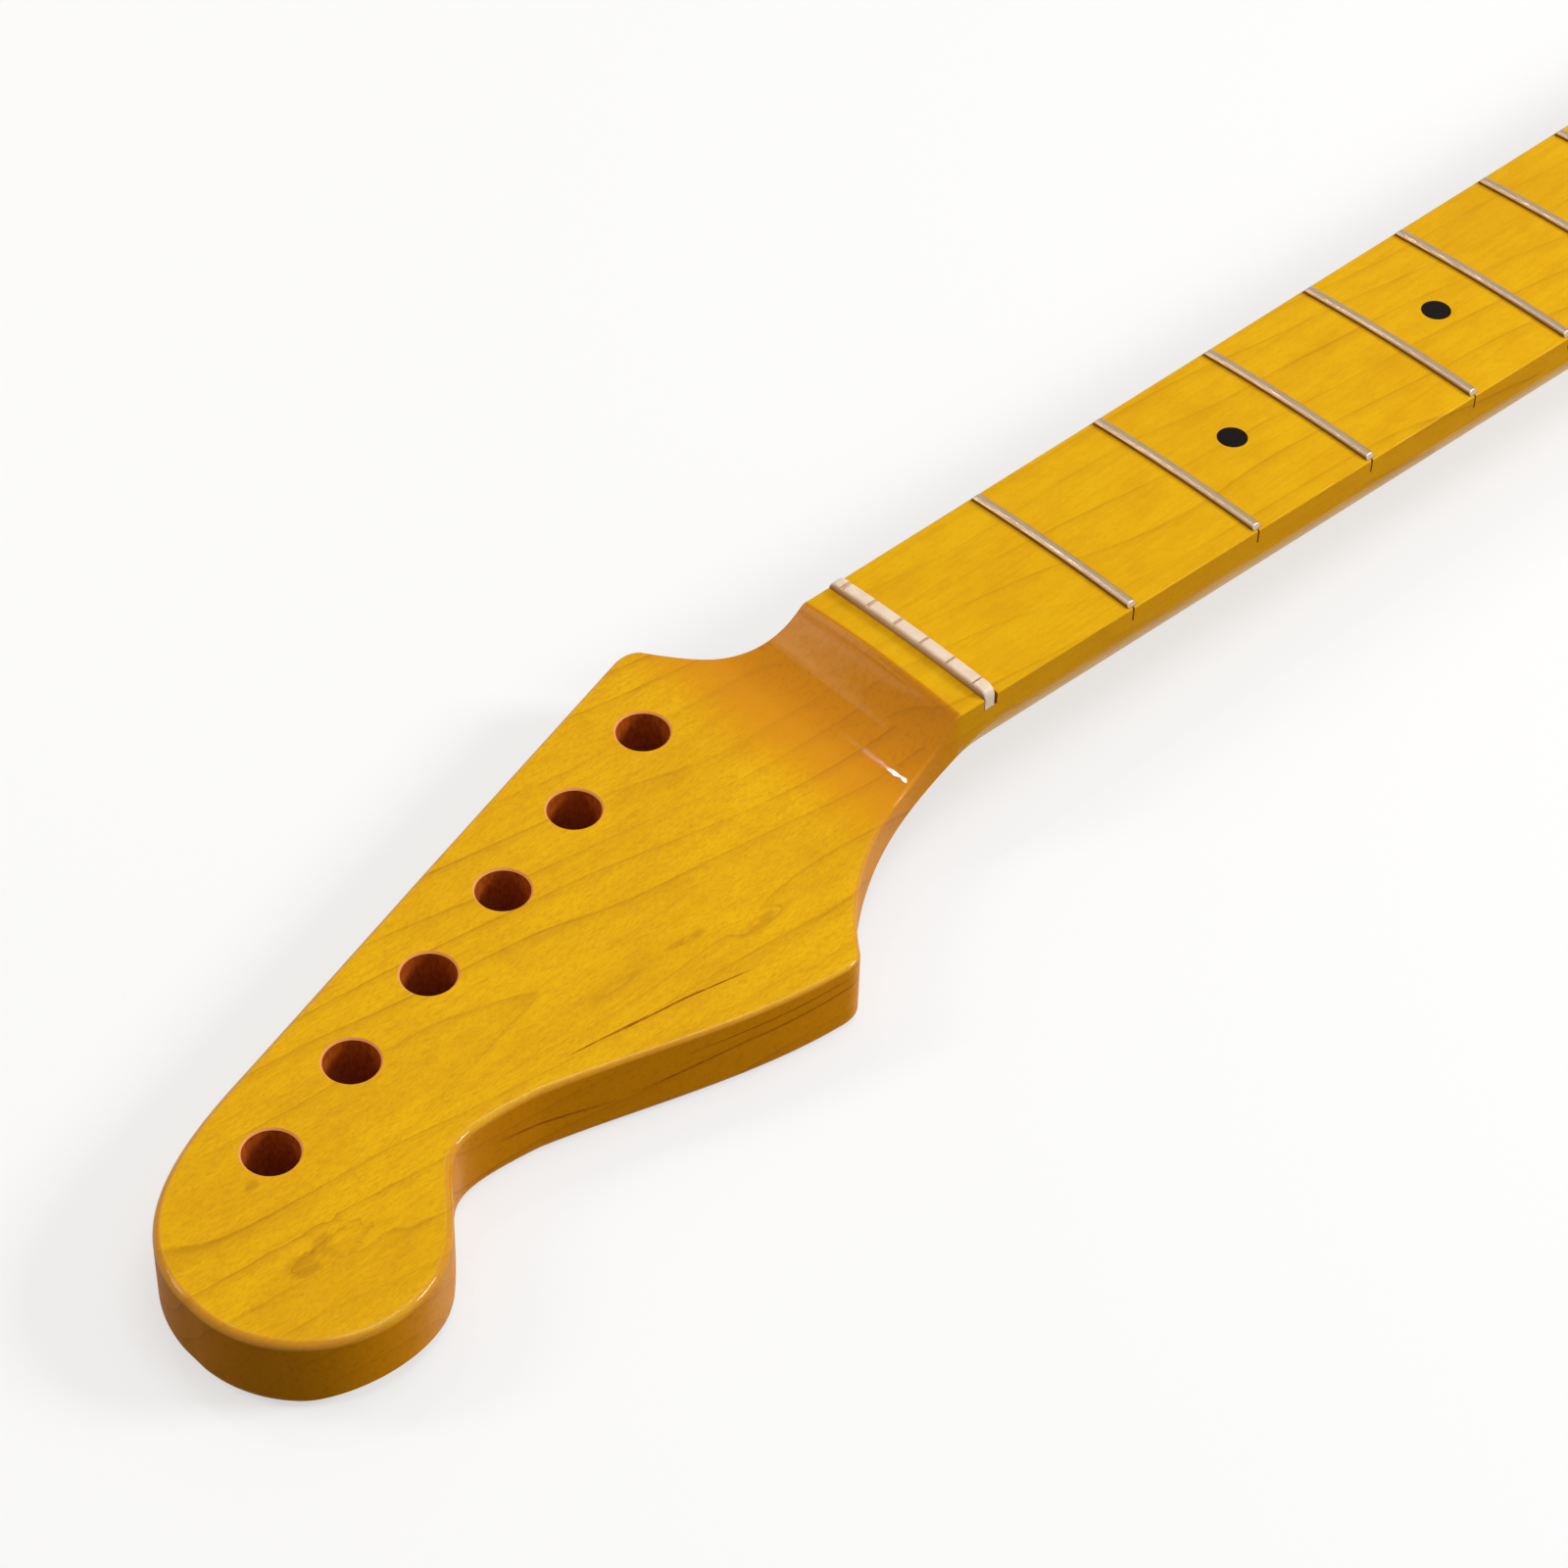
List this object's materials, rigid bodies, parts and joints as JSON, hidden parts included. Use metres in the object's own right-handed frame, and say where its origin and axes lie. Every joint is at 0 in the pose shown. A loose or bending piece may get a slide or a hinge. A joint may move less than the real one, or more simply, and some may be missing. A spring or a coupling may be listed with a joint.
{
  "type": "electric guitar neck",
  "caption": "Bolt-on guitar neck with angled tuner row, fretted rounded fingerboard, string nut, position marks and a truss rod adjusted at the heel.",
  "frame": {"origin": "centre of the heel's flat back face, which rests in the body's neck pocket", "axes": "+X along the neck from the head to the heel end, +Y across towards the bass side and the tuner row's outer edge, +Z out of the fingerboard's face"},
  "size_m": [0.6572, 0.0948, 0.0272],
  "materials": {
    "shaft_wood": "gloss clear coat over amber tinted maple",
    "board_wood": "gloss clear coat over amber tinted maple",
    "nut": "satin bone-like synthetic",
    "frets": "polished nickel silver",
    "marks": "black, under clear coat",
    "rod_steel": "plain steel",
    "rod_blocks": "plain brass"
  },
  "bodies": {
    "neck": {"neck_blank": "shaft_wood", "fingerboard": "board_wood", "string_nut": "nut", "fret_01": "frets", "fret_02": "frets", "fret_03": "frets", "fret_04": "frets", "fret_05": "frets", "fret_06": "frets", "fret_07": "frets", "fret_08": "frets", "fret_09": "frets", "fret_10": "frets", "fret_11": "frets", "fret_12": "frets", "fret_13": "frets", "fret_14": "frets", "fret_15": "frets", "fret_16": "frets", "fret_17": "frets", "fret_18": "frets", "fret_19": "frets", "fret_20": "frets", "fret_21": "frets", "face_mark_03": "marks", "face_mark_05": "marks", "face_mark_07": "marks", "face_mark_09": "marks", "face_mark_15": "marks", "face_mark_17": "marks", "face_mark_19": "marks", "face_mark_21": "marks", "face_mark_12_bass": "marks", "face_mark_12_treble": "marks", "side_mark_03": "marks", "side_mark_05": "marks", "side_mark_07": "marks", "side_mark_09": "marks", "side_mark_15": "marks", "side_mark_17": "marks", "side_mark_19": "marks", "side_mark_21": "marks", "side_mark_12_bass": "marks", "side_mark_12_treble": "marks", "rod_block_head": "rod_blocks", "rod_block_heel": "rod_blocks", "rod_flat_bar": "rod_steel"},
    "truss_adjuster": {"rod_screw": "rod_steel", "rod_adjuster": "rod_steel"}
  },
  "joints": [
    {"name": "truss_adjust", "type": "hinge", "parent": "neck", "child": "truss_adjuster", "pos_m": [0.0245, 0, 0.0126], "axis": [1, 0, 0], "range_deg": [-360, 360]}
  ]
}
